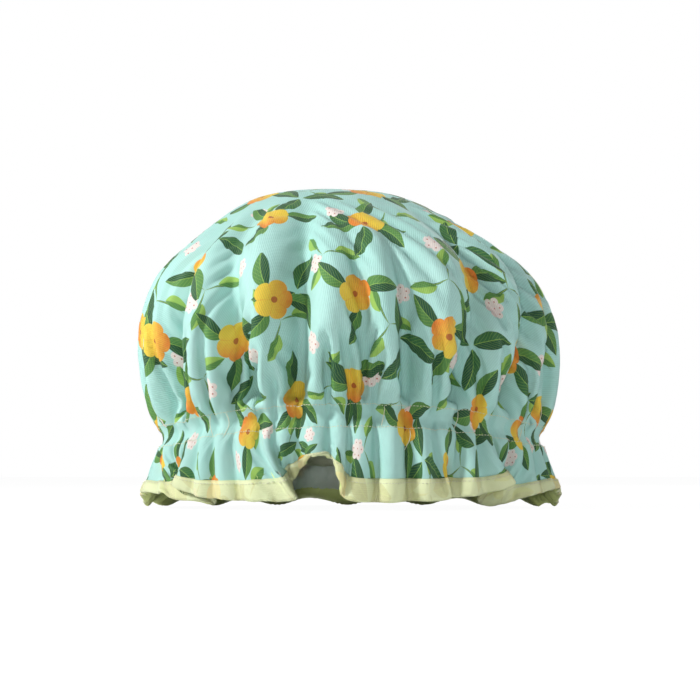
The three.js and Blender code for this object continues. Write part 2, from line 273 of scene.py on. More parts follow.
def crown_points(way, turns, gathers, folded=1):
    """Places in the crown for points at a share of the way from its middle to the elastic."""
    leaning = curve([0, 0.45, 0.6, 0.75, 0.92, 1], [0.6, 1, 0.9, 0.55, 0.15, 0], way)
    fold, reach = folds_at(FOLDS, turns, leaning)
    gather, _ = folds_at(gathers, turns, softness=0.2)
    half, deep, high = [curve(CROWN_WAY, shares, way) for shares in (CROWN_HALF, CROWN_DEEP, CROWN_HIGH)]
    started = curve([0, 0.33, 0.46, 0.62, 0.78, 0.93, 1], [0, 0, 0.13, 0.5, 0.95, 1.1, 0.3],
                    way + reach * np.clip((0.9 - way) / 0.5, 0, 1) * np.clip(way / 0.4, 0, 1))
    shift = CROWN_SHIFT * curve([0, 0.25, 0.45, 0.7, 1], [1, 0.9, 0.5, 0.1, 0], way)
    end = np.clip((way - 0.8) / 0.2, 0, 1) ** 2
    width, depth = CAP_WIDTH / 2 * half, CAP_DEPTH / 2 * deep
    width += end * (SEAT_HALF_WIDTH + TUNNEL_BULGE - CAP_WIDTH / 2 * CROWN_HALF[-1])
    depth += end * (SEAT_HALF_DEPTH + TUNNEL_BULGE - CAP_DEPTH / 2 * CROWN_DEEP[-1])
    top = tunnel_bottom(turns) + TUNNEL_WIDTH
    points = on_ellipse(turns, width, depth, top + (CLOTH_HEIGHT - top) * high)
    points[:, 0] += shift
    gathered = np.clip((way - 0.7) / 0.25, 0, 1) ** 1.3
    inward = FOLD_DEPTH * fold * started + GATHER_DEPTH * gather * gathered
    near = np.clip((way - 0.91) / 0.09, 0, 1)
    inward += (seat_inward(turns, gathers) - inward) * near**2
    return points - outward(turns, width, depth) * inward[:, None] * folded


def seat_inward(turns, gathers):
    """How far the cloth is gathered in on the elastic, which it doesn't reach into."""
    fold, _ = folds_at(FOLDS, turns)
    gather, _ = folds_at(gathers, turns, softness=0.2)
    return np.minimum(0.4 * SEAT_FOLD * fold + 0.75 * SEAT_FOLD * gather, SEAT_FOLD)


def seat_points(turns, down, gathers, folded=1):
    """Places on the elastic, from the tunnel's top edge down."""
    bulge = TUNNEL_BULGE * (2 * down / TUNNEL_WIDTH - 1) ** 2
    height = tunnel_bottom(turns) + TUNNEL_WIDTH - down
    points = on_ellipse(turns, SEAT_HALF_WIDTH + bulge, SEAT_HALF_DEPTH + bulge, height)
    facing = outward(turns, SEAT_HALF_WIDTH, SEAT_HALF_DEPTH)
    return points - facing * seat_inward(turns, gathers)[:, None] * folded


def hem_points(turns):
    """Places on the hem for turns in the cloth."""
    placed, out, high = around(HEM, turns)
    width, depth = SEAT_HALF_WIDTH + out * MM, SEAT_HALF_DEPTH + out * MM
    return on_ellipse(placed, width, depth, high * MM - HEM_DROP)


def ruffle_points(turns, below, gathers):
    """Places in the ruffle, on a bent line from the elastic to the hem."""
    gather, _ = folds_at(gathers, turns, softness=0.2)
    start = seat_points(turns, TUNNEL_WIDTH + 0 * turns, gathers)
    front = (1 + np.cos(np.radians(turns))) / 2
    facing = outward(turns, SEAT_HALF_WIDTH, SEAT_HALF_DEPTH)
    end = hem_points(turns) - facing * (HEM_GATHER * gather * front)[:, None]
    share = (below / RUFFLE_LENGTH)[:, None]
    swell = RUFFLE_SWELL - RUFFLE_GATHER * gather * front
    middle = start + facing * swell[:, None] - [0, 0, RUFFLE_DROP]
    return start * (1 - share) ** 2 + middle * 2 * share * (1 - share) + end * share**2


def cloth_at(radius, turns, gathers, folded=1):
    """Where points of the flat cut lie on the cap. Without folds it is the smooth shape under them."""
    down = radius - CROWN_LENGTH
    crown = crown_points(np.clip(radius / CROWN_LENGTH, 0, 1), turns, gathers, folded)
    seat = seat_points(turns, np.clip(down, 0, TUNNEL_WIDTH), gathers, folded)
    ruffle = ruffle_points(turns, np.clip(down - TUNNEL_WIDTH, 0, RUFFLE_LENGTH), gathers)
    on_seat = (down <= TUNNEL_WIDTH + 1e-9)[:, None]
    points = np.where((down <= 0)[:, None], crown, np.where(on_seat, seat, ruffle))
    return in_place(points)


def in_place(points):
    """Moves points from the cap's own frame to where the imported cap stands."""
    low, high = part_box("elastic_band")
    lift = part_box("outer_shell")[1].z - CLOTH_HEIGHT
    return points + [(low.x + high.x) / 2, (low.y + high.y) / 2, lift]


# The flat cut and its simulation.

class Disc:
    """The flat cut as rings of points, six more on each ring than on the last, joined by triangles."""

    def __init__(self):
        seams = [0, CROWN_LENGTH, TUNNEL_END, HEM_RADIUS]
        radii = [0.0]
        for low, high in zip(seams[:-1], seams[1:]):
            radii.extend(np.linspace(low, high, max(2, round((high - low) / CLOTH_STEP)) + 1)[1:])
        self.ring_radius = np.array(radii)
        counts = [1] + [6 * k for k in range(1, len(radii))]
        self.ring_start = np.concatenate([[0], np.cumsum(counts)])
        self.ring_turn = [np.zeros(1)] + [
            (np.arange(n) + 0.5 * (k % 2)) / n * 360 - 180 for k, n in enumerate(counts) if k]
        self.turn = (np.concatenate(self.ring_turn) + 179) % 360 - 179
        self.ring = np.repeat(np.arange(len(radii)), counts)
        self.radius = self.ring_radius[self.ring]
        a = np.radians(self.turn)
        self.flat = np.stack([self.radius * np.sin(a), -self.radius * np.cos(a), 0 * a], 1)
        self.triangles = np.array([t for k in range(1, len(radii)) for t in self.strip(k)])
        self.count = len(self.turn)

    def strip(self, k):
        """Triangles between ring k and the ring inside it."""
        first, last = self.ring_start[k - 1], self.ring_start[k]
        inner, outer = self.ring_turn[k - 1], self.ring_turn[k]
        n, m = len(inner), len(outer)
        if n == 1:
            return [(first, last + j, last + (j + 1) % m) for j in range(m)]
        found, i, j = [], 0, 0
        while i < n or j < m:
            next_in = inner[(i + 1) % n] + 360 * (i + 1 >= n) if i < n else 1e9
            next_out = outer[(j + 1) % m] + 360 * (j + 1 >= m) if j < m else 1e9
            if next_out <= next_in:
                found.append((first + i % n, last + j % m, last + (j + 1) % m))
                j += 1
            else:
                found.append((first + i % n, last + j % m, first + (i + 1) % n))
                i += 1
        return found

    def sample(self, values, radius, turns):
        """Values on the disc at one radius and many turns."""
        below = np.searchsorted(self.ring_radius, radius, side="right") - 1
        k = int(np.clip(below, 1, len(self.ring_radius) - 2))
        turns = (turns + 180) % 360 - 180
        share = (radius - self.ring_radius[k]) / (self.ring_radius[k + 1] - self.ring_radius[k])
        rows = []
        for ring in (k, k + 1):
            own = values[self.ring_start[ring]:self.ring_start[ring + 1]]
            at = self.ring_turn[ring]
            wide = np.concatenate([at[-1:] - 360, at, at[:1] + 360])
            columns = [np.concatenate([c[-1:], c, c[:1]]) for c in own.T]
            rows.append(np.stack([np.interp(turns, wide, c) for c in columns], 1))
        return rows[0] * (1 - share) + rows[1] * share


def edges_and_hinges(triangles):
    """Each edge once, and the far points of the two triangles beside it."""
    far, edges, hinges = {}, [], []
    for a, b, c in triangles.tolist():
        for u, v, w in ((a, b, c), (b, c, a), (c, a, b)):
            key = (u, v) if u < v else (v, u)
            if key in far:
                hinges.append((far[key], w))
            else:
                far[key] = w
                edges.append(key)
    return np.array(edges), np.array(hinges)


def in_batches(pairs, count, *values):
    """The pairs in groups that share no point, so that each group moves at once, with their values."""
    used, colour = [0] * count, []
    for a, b in pairs.tolist():
        free = ~(used[a] | used[b])
        bit = free & -free
        used[a] |= bit
        used[b] |= bit
        colour.append(bit.bit_length())
    colour = np.array(colour)
    return [(pairs[colour == c, 0], pairs[colour == c, 1], *[v[colour == c] for v in values])
            for c in np.unique(colour)]


def normals_of(points, triangles):
    """Directions square to the cloth at its points."""
    corners = [points[triangles[:, k]] for k in range(3)]
    across = np.cross(corners[1] - corners[0], corners[2] - corners[0])
    total = np.stack([sum(np.bincount(triangles[:, k], across[:, c], len(points)) for k in range(3))
                      for c in range(3)], 1)
    return unit(total)


def cloth_lengths(disc, gathers, pairs):
    """Rest lengths: down the cap those of the folded shape, round it those of the smooth one and
    what the folds take."""
    step, turn_step = 1 * MM, 0.25
    inner, outer = [np.clip(disc.radius + way, 0, HEM_RADIUS) for way in (-step, step)]
    below, above = cloth_at(outer, disc.turn, gathers), cloth_at(inner, disc.turn, gathers)
    down_share = np.linalg.norm(below - above, axis=1) / (outer - inner)
    sides = [cloth_at(disc.radius, disc.turn + t, gathers, 0) for t in (turn_step, -turn_step)]
    arc = np.maximum(disc.radius, step) * 2 * np.radians(turn_step)
    round_share = np.linalg.norm(sides[0] - sides[1], axis=1) / arc
    shapes = [cloth_at(disc.radius, disc.turn, gathers, folded) for folded in (1, 0)]
    full, smooth = [ring_lengths(disc, shape) for shape in shapes]
    round_share *= (full / smooth * curve(*SPARE_CLOTH, disc.ring_radius / CROWN_LENGTH))[disc.ring]
    a, b = pairs.T
    down = (disc.radius[a] - disc.radius[b]) * (down_share[a] + down_share[b]) / 2
    across = flat_across(disc, pairs) * (round_share[a] + round_share[b]) / 2
    return np.hypot(down, across)


def flat_across(disc, pairs):
    """How far the two points of each pair lie apart round the flat cut."""
    a, b = pairs.T
    flat = np.linalg.norm(disc.flat[a] - disc.flat[b], axis=1)
    return np.sqrt(np.maximum(flat**2 - (disc.radius[a] - disc.radius[b]) ** 2, 0))


def ring_lengths(disc, points):
    """Length of the line through the points of each ring."""
    lengths = np.ones(len(disc.ring_radius))
    for k in range(1, len(lengths)):
        ring = points[disc.ring_start[k]:disc.ring_start[k + 1]]
        lengths[k] = np.linalg.norm(ring - np.roll(ring, 1, axis=0), axis=1).sum()
    return lengths


def simulate(disc, gathers, rng):
    """Settles the cloth from its planned shape, by positions: edges keep their length, hinges
    resist bending, air puffs up the crown."""
    edges, hinges = edges_and_hinges(disc.triangles)
    stiff = np.where(disc.radius[hinges].min(1) > HEM_RADIUS - BINDING_WIDTH, BEND_BINDING, BEND)
    lengths = cloth_lengths(disc, gathers, edges)
    across = (flat_across(disc, edges) / lengths) ** 2
    squeeze = SQUEEZE_DOWN + (SQUEEZE - SQUEEZE_DOWN) * np.clip(across, 0, 1)
    batches = in_batches(edges, disc.count, lengths, STRETCH + 0 * lengths, squeeze)
    batches += in_batches(hinges, disc.count, cloth_lengths(disc, gathers, hinges), stiff, stiff)
    target = cloth_at(disc.radius, disc.turn, gathers)
    crown = disc.radius < CROWN_LENGTH - 1e-6
    off_middle = np.abs(disc.radius - CROWN_LENGTH - TUNNEL_WIDTH / 2)
    free = np.where(off_middle < PINNED_WIDTH / 2, 0.0, 1.0)[:, None]
    hold = np.where(crown, HOLD_CROWN, HOLD_RUFFLE)[:, None] * free
    puff = PUFF * crown[:, None]
    points = target + rng.normal(0, START_NOISE, target.shape) * free
    before = points.copy()
    for _ in range(STEPS):
        last = points.copy()
        drift = (points - before) * DRIFT
        size = np.linalg.norm(drift, axis=1)[:, None]
        points += drift * np.minimum(1, LONGEST_MOVE / np.maximum(size, 1e-12)) * free
        points += normals_of(points, disc.triangles) * puff
        for a, b, rest, stretch, squeeze in batches:
            apart = points[b] - points[a]
            length = np.sqrt((apart * apart).sum(1))
            weight = free[a, 0] + free[b, 0]
            part = (length - rest) / np.maximum(length * np.maximum(weight, 1e-9), 1e-12)
            part *= np.where(length > rest, stretch, squeeze)
            points[a] += apart * (part * free[a, 0])[:, None]
            points[b] -= apart * (part * free[b, 0])[:, None]
        points += (target - points) * hold
        points[:, 2] = np.maximum(points[:, 2], LEAST_HEIGHT)
        before = last
    return points


# Pieces.

def new_object(name, points, faces):
    mesh = bpy.data.meshes.new(name)
    mesh.from_pydata(points.tolist(), [], faces)
    mesh.update()
    mesh.polygons.foreach_set("use_smooth", [True] * len(mesh.polygons))
    piece = bpy.data.objects.new(name, mesh)
    bpy.context.scene.collection.objects.link(piece)
    return piece


def keep_values(piece, name, values):
    """Stores one vector per point, for the materials."""
    layer = piece.data.attributes.new(name, "FLOAT_VECTOR", "POINT")
    layer.data.foreach_set("vector", np.asarray(values, np.float32).ravel())


def strip_piece(name, rows):
    """Joins rows of points round the cap into one closed skin: the last row also joins the first."""
    points = np.concatenate(rows)
    n, m = len(rows[0]), len(rows)
    faces = []
    for r in range(m):
        s = (r + 1) % m
        faces.extend((r * n + i, r * n + (i + 1) % n, s * n + (i + 1) % n, s * n + i) for i in range(n))
    return new_object(name, points, faces)


class Nodes:
    """The nodes of a new material. An input is a number, a colour, a vector or another node's output."""

    def __init__(self, name):
        self.material = bpy.data.materials.new(name)
        self.material.use_nodes = True
        self.tree = self.material.node_tree
        self.shader = self.tree.nodes["Principled BSDF"]

    def join(self, socket, value):
        if isinstance(value, bpy.types.NodeSocket):
            self.tree.links.new(value, socket)
        elif value is not None:
            socket.default_value = value

    def add(self, kind, *inputs, output=0, **settings):
        made = self.tree.nodes.new("ShaderNode" + kind)
        for name, value in settings.items():
            setattr(made, name, value)
        for socket, value in zip(made.inputs, inputs):
            self.join(socket, value)
        return made.outputs[output]

    def math(self, operation, *inputs, clamp=False):
        return self.add("Math", *inputs, operation=operation, use_clamp=clamp)

    def vector(self, operation, *inputs, output=0):
        return self.add("VectorMath", *inputs, operation=operation, output=output)

    def stored(self, name, output=1):
        """A vector that keep_values stored on the piece."""
        return self.add("Attribute", attribute_name=name, output=output)

    def split(self, vector):
        self.add("SeparateXYZ", vector)
        return self.tree.nodes[-1].outputs[:3]

    def mix(self, share, first, second):
        made = self.tree.nodes.new("ShaderNodeMix")
        made.data_type = "RGBA"
        for k, value in ((0, share), (6, first), (7, second)):
            self.join(made.inputs[k], value)
        return made.outputs[2]

    def noise(self, vector, scale, detail=2):
        made = self.tree.nodes.new("ShaderNodeTexNoise")
        self.join(made.inputs["Vector"], vector)
        made.inputs["Scale"].default_value = scale
        made.inputs["Detail"].default_value = detail
        return made.outputs[0]

    def waves(self, value, pitch):
        return self.math("SINE", self.math("MULTIPLY", value, 2 * np.pi / pitch))

    def finish(self, colour, height, deep, roughness, through=0, sheen=0):
        """A cloth shader: its colour, its relief of so many metres, and how much light comes
        through it."""
        bump = self.tree.nodes.new("ShaderNodeBump")
        bump.inputs["Distance"].default_value = deep
        self.join(bump.inputs["Height"], height)
        self.join(self.shader.inputs["Base Color"], colour)
        self.join(self.shader.inputs["Normal"], bump.outputs[0])
        self.join(self.shader.inputs["Roughness"], roughness)
        self.shader.inputs["Specular IOR Level"].default_value = 0.22
        self.shader.inputs["Sheen Weight"].default_value = sheen
        if through:
            glow = self.add("BsdfTranslucent", colour, bump.outputs[0])
            both = self.add("MixShader", through, self.shader.outputs[0], glow)
            self.join(self.tree.nodes["Material Output"].inputs["Surface"], both)
        return self.material


def paint(red, green, blue):
    """A colour as a screen shows it, from 0 to 255, in the units that the shaders take."""
    shares = np.array([red, green, blue]) / 255
    return (*np.where(shares > 0.04045, ((shares + 0.055) / 1.055) ** 2.4, shares / 12.92).tolist(), 1)


MINT = paint(168, 222, 212)
MINT_PALE = paint(188, 226, 220)
LEAF_DARK = paint(36, 80, 50)
LEAF_DEEP = paint(54, 104, 56)
LEAF_MIDDLE = paint(86, 136, 66)
LEAF_LIGHT = paint(156, 196, 92)
YELLOW = paint(240, 206, 70)
ORANGE = paint(230, 132, 46)
BLOSSOM = paint(240, 226, 220)
BLOOM_EYE = paint(186, 104, 44)
BLOSSOM_EYE = paint(196, 124, 110)
# Painted shade for the grooves between the printed cloth's ribs.
RIB_PAINTED_SHADE = paint(90, 120, 112)
FILM_PALE = paint(248, 250, 244)
FILM_DEEP = paint(238, 243, 234)
SATIN_PALE = paint(240, 238, 190)
SATIN_DEEP = paint(232, 233, 176)
# The satin's inner side: a greener lime painted for the same satin in shade with light through it.
SATIN_INNER_PAINTED_SHADE = paint(222, 234, 156)
# The cream thread and a darker copy of it, for painted shade in bands along its twist.
THREAD = paint(238, 238, 214)
THREAD_PAINTED_SHADE = paint(190, 190, 160)
# Light and dark colours of the elastic and the tape: painted light on their raised threads and painted
# shade in their grooves.
ELASTIC_PAINTED_LIGHT_AND_SHADE = (paint(244, 242, 236), paint(214, 212, 204))
TAPE_PAINTED_LIGHT_AND_SHADE = (paint(236, 238, 214), paint(212, 216, 186))

# Pitches of the weaves and spacings of the motifs, in millimetres.
RIB_PITCH = 1.1
SATIN_PITCH = 0.9
TWIST_PITCH = 0.5
ELASTIC_PITCH = 1.1
TAPE_PITCH = 0.8
SPRIG_SPACING = 58
SPRAY_SPACING = 71
CLUSTER_SPACING = 53
BLOOM_SPACING = 61
BLOOM_RADIUS = 11.5


def motif_places(n, flat, spacing, turned):
    """Repeats a motif over the cloth: millimetres from the middle of each one, which lies and
    turns by chance."""
    place = n.add("VectorRotate", flat, (0, 0, 0), (0, 0, 1), turned, rotation_type="Z_AXIS")
    place = n.vector("MULTIPLY", place, (1 / spacing, 1 / spacing, 0))
    chance = n.add("TexWhiteNoise", n.vector("FLOOR", place), output=1)
    middle = n.vector("MULTIPLY_ADD", chance, (0.26, 0.26, 0), (0.37, 0.37, 0))
    away = n.vector("SUBTRACT", n.vector("FRACTION", place), middle)
    away = n.vector("MULTIPLY", away, (spacing, spacing, 0))
    angle = n.math("MULTIPLY", n.split(chance)[2], 2 * np.pi)
    return n.add("VectorRotate", away, (0, 0, 0), (0, 0, 1), angle, rotation_type="Z_AXIS")


def round_middle(n, away, count):
    """The same coordinates in each of so many equal sectors: along its middle line, and across it."""
    x, y, _ = n.split(away)
    half = np.pi / count
    angle = n.math("WRAP", n.math("ARCTAN2", y, x), half, -half)
    radius = n.vector("LENGTH", away, output=1)
    return (n.math("MULTIPLY", radius, n.math("COSINE", angle)),
            n.math("MULTIPLY", radius, n.math("SINE", angle)))


def paint_over(n, under, inside, colour):
    """Paints a shape on what is under it. A point is so many millimetres inside the shape."""
    return n.mix(n.math("MULTIPLY_ADD", inside, 3.5, 0.5, clamp=True), under, colour)


def paint_leaves(n, under, away, count, start, length, width, colours):
    """Lens-shaped leaves round a middle, a little bent, with a lighter side, a midrib and veins."""
    along, across = round_middle(n, away, count)
    along = n.math("SUBTRACT", along, start)
    across = n.math("MULTIPLY_ADD", n.math("MULTIPLY", along, along), 0.35 / length, across)
    off = n.math("ABSOLUTE", across)
    share = n.math("MULTIPLY_ADD", along, 2 / length, -1)
    half = n.math("MULTIPLY_ADD", n.math("MULTIPLY", share, share), -width, width)
    dark, light = colours
    side = n.math("MULTIPLY_ADD", across, 1.2, 0.5, clamp=True)
    colour = n.mix(side, dark, light)
    vein = n.math("PINGPONG", n.math("MULTIPLY_ADD", off, 1.3, n.math("MULTIPLY", along, -1)), 1.2)
    colour = n.mix(n.math("MULTIPLY", n.math("LESS_THAN", vein, 0.22), 0.3), colour, LEAF_LIGHT)
    colour = n.mix(n.math("MULTIPLY", n.math("LESS_THAN", off, 0.22), 0.7), colour, LEAF_LIGHT)
    return paint_over(n, under, n.math("SUBTRACT", half, off), colour)


def paint_bloom(n, under, away, radius):
    """A round bloom of five petals that turns from yellow to orange across it."""
    x, y, _ = n.split(away)
    far = n.vector("LENGTH", away, output=1)
    petal = n.math("ABSOLUTE", n.math("COSINE", n.math("MULTIPLY", n.math("ARCTAN2", y, x), 2.5)))
    rim = n.math("MULTIPLY_ADD", n.math("POWER", petal, 0.5), 0.22 * radius, 0.78 * radius)
    uneven = n.math("MULTIPLY", n.noise(away, 0.35), 0.5)
    tone = n.math("MULTIPLY_ADD", x, 0.8 / radius, uneven, clamp=True)
    colour = n.mix(tone, YELLOW, ORANGE)
    seam = n.math("MULTIPLY_ADD", petal, -6, 1, clamp=True)
    colour = n.mix(n.math("MULTIPLY", seam, 0.4), colour, ORANGE)
    colour = paint_over(n, colour, n.math("SUBTRACT", 0.16 * radius, far), BLOOM_EYE)
    return paint_over(n, under, n.math("SUBTRACT", rim, far), colour)


def paint_blossoms(n, under, away, ring, size):
    """A cluster of small pale blossoms, each with a darker eye."""
    along, across = round_middle(n, away, 6)
    beside = n.add("CombineXYZ", n.math("SUBTRACT", along, ring), across)
    apart = n.math("MINIMUM", n.vector("LENGTH", beside, output=1), n.vector("LENGTH", away, output=1))
    colour = paint_over(n, BLOSSOM, n.math("SUBTRACT", 0.2 * size, apart), BLOSSOM_EYE)
    return paint_over(n, under, n.math("SUBTRACT", size, apart), colour)


def print_colour(n, flat):
    """A loose floral on mint, in layers: sprigs, leaf sprays, pale clusters and round blooms."""
    colour = n.mix(n.noise(flat, 0.02), MINT, MINT_PALE)
    sprigs = motif_places(n, flat, SPRIG_SPACING, 0.9)
    colour = paint_leaves(n, colour, sprigs, 3, start=0, length=20, width=0.6,
                          colours=(LEAF_DARK, LEAF_DARK))
    colour = paint_leaves(n, colour, sprigs, 3, start=8, length=15, width=3.9,
                          colours=(LEAF_MIDDLE, LEAF_LIGHT))
    sprays = motif_places(n, flat, SPRAY_SPACING, -0.5)
    colour = paint_leaves(n, colour, sprays, 3, start=1.5, length=25, width=5.6,
                          colours=(LEAF_DARK, LEAF_DEEP))
    clusters = motif_places(n, flat, CLUSTER_SPACING, 0.3)
    colour = paint_blossoms(n, colour, clusters, ring=4, size=2.3)
    blooms = motif_places(n, flat, BLOOM_SPACING, 0.12)
    colour = paint_leaves(n, colour, blooms, 3, start=7, length=22, width=5.2,
                          colours=(LEAF_DARK, LEAF_MIDDLE))
    return paint_bloom(n, colour, blooms, BLOOM_RADIUS)


def rib_height(n, flat):
    """Fine ribs along the cloth, and the threads across them."""
    x, y, _ = n.split(flat)
    return n.math("MULTIPLY_ADD", n.waves(y, RIB_PITCH / 2), 0.25, n.waves(x, RIB_PITCH))


def printed_cloth_material():
    n = Nodes("printed_cloth")
    flat = n.stored("flat")
    ribs = rib_height(n, flat)
    # The grooves between the ribs are painted darker: painted shade, besides their bump.
    shade = n.math("MULTIPLY_ADD", ribs, -0.06, 0.08, clamp=True)
    colour = n.mix(shade, print_colour(n, flat), RIB_PAINTED_SHADE)
    crumple = n.math("MULTIPLY", n.noise(flat, 0.09, 4), 5)
    height = n.math("MULTIPLY_ADD", ribs, 0.5, crumple)
    return n.finish(colour, height, 0.00014, 0.52, through=0.08, sheen=0.05)


def lining_material():
    n = Nodes("lining_film")
    flat = n.stored("flat")
    soft = n.noise(flat, 0.12, 4)
    colour = n.mix(soft, FILM_PALE, FILM_DEEP)
    return n.finish(colour, n.math("MULTIPLY", soft, 4), 0.00015, 0.42, through=0.3)


def binding_material():
    """Thin satin, folded over the hem: the print shows faintly through its outer side. Its inner side is
    the same satin, painted a greener lime as painted shade with light through it.
    """
    n = Nodes("satin_binding")
    flat = n.stored("flat")
    inner = n.split(n.stored("side"))[0]
    x, y, _ = n.split(n.stored("along"))
    satin = n.mix(n.noise(flat, 0.05), SATIN_PALE, SATIN_DEEP)
    outer = n.mix(0.16, satin, print_colour(n, flat))
    # Inner faces get painted shade: the greener lime of the satin in shade with light through it.
    colour = n.mix(inner, outer, SATIN_INNER_PAINTED_SHADE)
    weave = n.math("ADD", n.waves(x, SATIN_PITCH), n.waves(y, SATIN_PITCH))
    return n.finish(colour, weave, 0.00003, 0.4, through=0.2, sheen=0.15)


def thread_material():
    """Twisted thread: fine bands round it, lighter and darker, painted shade along its twist."""
    n = Nodes("cream_thread")
    x, _, _ = n.split(n.stored("along"))
    twist = n.waves(x, TWIST_PITCH)
    shade = n.mix(n.math("MULTIPLY_ADD", twist, 0.25, 0.5), THREAD, THREAD_PAINTED_SHADE)
    return n.finish(shade, twist, 0.00003, 0.55)


def woven_material(name, colours, pitch):
    """A woven band: ribs across it and threads along it. Its raised threads are painted lighter and its
    grooves darker: painted light and painted shade.
    """
    n = Nodes(name)
    x, y, _ = n.split(n.stored("along"))
    height = n.math("ADD", n.waves(x, pitch), n.waves(y, pitch))
    light, dark = colours
    # Painted light and shade: lighter where the weave is raised, darker in its grooves.
    colour = n.mix(n.math("MULTIPLY_ADD", height, 0.2, 0.5), dark, light)
    return n.finish(colour, height, 0.00008, 0.7)


def lining_points(disc, cloth):
    """The cloth's inner side, a ply further in and a little smoother, so that it stays inside
    tight creases."""
    normals = normals_of(cloth, disc.triangles)
    points = cloth - normals * LINING_GAP
    edges, _ = edges_and_hinges(disc.triangles)
    a, b = np.concatenate([edges, edges[:, ::-1]]).T
    beside = np.bincount(a, minlength=disc.count)[:, None]
    for _ in range(2):
        around_each = np.stack([np.bincount(a, points[b, c], disc.count) for c in range(3)], 1)
        points = points * 0.5 + 0.5 * around_each / beside
    inside = ((cloth - points) * normals).sum(1)
    return points - normals * np.maximum(0, LEAST_GAP - inside)[:, None]


rng = np.random.default_rng(7)
disc = Disc()
gathers = gather_rows(rng)
cloth = simulate(disc, gathers, rng)
cloth_normals = normals_of(cloth, disc.triangles)

outer = new_object("outer_cloth", cloth, disc.triangles.tolist())
keep_values(outer, "flat", disc.flat / MM)
outer.data.materials.append(printed_cloth_material())
film = lining_points(disc, cloth)
lining = new_object("lining_cloth", film, disc.triangles[:, ::-1].tolist())
keep_values(lining, "flat", disc.flat / MM)
lining.data.materials.append(lining_material())


def along_hem(up, off):
    """Points round the hem, so far up the cloth and so far off it, in metres."""
    inside = max(up, 0.0)
    base = disc.sample(cloth, HEM_RADIUS - inside, hem_turns)
    facing = unit(disc.sample(cloth_normals, HEM_RADIUS - max(up, 1.5 * MM), hem_turns))
    if up < 0:
        base = base + unit(base - disc.sample(cloth, HEM_RADIUS - 3 * MM, hem_turns)) * -up
    return base + facing * off


def make_binding():
    section = [along_hem(up * MM, off * MM) for up, off in BINDING_SECTION]
    piece = strip_piece("hem_binding", section)
    a = np.radians(hem_turns)
    rows = [HEM_RADIUS / MM - up for up, _ in BINDING_SECTION]
    keep_values(piece, "flat", [(r * np.sin(t), -r * np.cos(t), 0) for r in rows for t in a])
    keep_values(piece, "side", [(float(off < -0.6), 0, 0) for _, off in BINDING_SECTION for _ in a])
    keep_values(piece, "along", [(HEM_RADIUS / MM * t, up, 0) for up, _ in BINDING_SECTION for t in a])
    piece.data.materials.append(binding_material())
    return piece


def on_elastic(turns, outward_by, up):
    """Points on the elastic's ellipse, off its middle line and above its mid height."""
    height = tunnel_bottom(turns) + TUNNEL_WIDTH / 2 + up
    points = on_ellipse(turns, OPENING_WIDTH / 2, OPENING_DEPTH / 2, height)
    return in_place(points + outward(turns, OPENING_WIDTH, OPENING_DEPTH) * outward_by)


def band_piece(name, rows, material):
    """A closed band round the cap, with its way round and across stored for its weave."""
    piece = strip_piece(name, rows)
    ways = OPENING_WIDTH / 2 / MM * np.radians(hem_turns)
    keep_values(piece, "along", [(way, k * 3, 0) for k in range(len(rows)) for way in ways])
    piece.data.materials.append(material)
    return piece


def make_elastic():
    half, thick = ELASTIC_WIDTH / 2, ELASTIC_THICKNESS / 2
    corners = [(0.6, half), (1, 0.9 * half), (1, 0), (1, -0.9 * half), (0.6, -half),
               (-0.6, -half), (-1, -0.9 * half), (-1, 0), (-1, 0.9 * half), (-0.6, half)]
    rows = [on_elastic(hem_turns, share * thick, up) for share, up in corners]
    return band_piece("elastic", rows, woven_material("elastic", ELASTIC_PAINTED_LIGHT_AND_SHADE, ELASTIC_PITCH))


def make_tape():
    """The tape is sewn to the lining at both edges of the tunnel, and passes inside the elastic."""
    inner = -ELASTIC_THICKNESS / 2 - TAPE_GAP
    half = ELASTIC_WIDTH / 2 + TAPE_GAP

    def edge(radius, off):
        facing = unit(disc.sample(cloth_normals, radius, hem_turns))
        return disc.sample(film, radius, hem_turns) - facing * off

    outer_side = [edge(CROWN_LENGTH, TAPE_GAP), on_elastic(hem_turns, inner, half),
                  on_elastic(hem_turns, inner, -half), edge(TUNNEL_END, TAPE_GAP)]
    inner -= TAPE_THICKNESS
    inner_side = [edge(TUNNEL_END, TAPE_GAP + TAPE_THICKNESS), on_elastic(hem_turns, inner, -half),
                  on_elastic(hem_turns, inner, half), edge(CROWN_LENGTH, TAPE_GAP + TAPE_THICKNESS)]
    material = woven_material("tape", TAPE_PAINTED_LIGHT_AND_SHADE, TAPE_PITCH)
    return band_piece("tunnel_tape", outer_side + inner_side, material)


def tube(points, radius):
    """A round skin of six sides along each run of points: corners, faces and way along."""
    runs, count, _ = points.shape
    ahead = np.gradient(points, axis=1)
    ahead /= np.linalg.norm(ahead, axis=2)[:, :, None]
    side = np.cross(ahead, [0, 0, 1.0])
    side /= np.maximum(np.linalg.norm(side, axis=2), 1e-9)[:, :, None]
    up = np.cross(side, ahead)
    place = np.arange(count)
    thick = radius * np.where((place == 0) | (place == count - 1), 0.35, 1)[None, :, None]
    rim = [points + thick * (np.cos(a) * side + np.sin(a) * up) for a in np.arange(6) * np.pi / 3]
    corners = np.stack(rim, 2).reshape(-1, 3)
    steps = np.diff(points, axis=1, prepend=points[:, :1])
    way = np.repeat(np.cumsum(np.linalg.norm(steps, axis=2), axis=1), 6)
    faces = []
    for run in range(runs):
        first = run * count * 6
        for k in range(count - 1):
            low, high = first + k * 6, first + k * 6 + 6
            faces.extend((low + j, low + (j + 1) % 6, high + (j + 1) % 6, high + j) for j in range(6))
        faces.append(tuple(range(first + 5, first - 1, -1)))
        faces.append(tuple(range(first + count * 6 - 6, first + count * 6)))
    return corners, faces, way


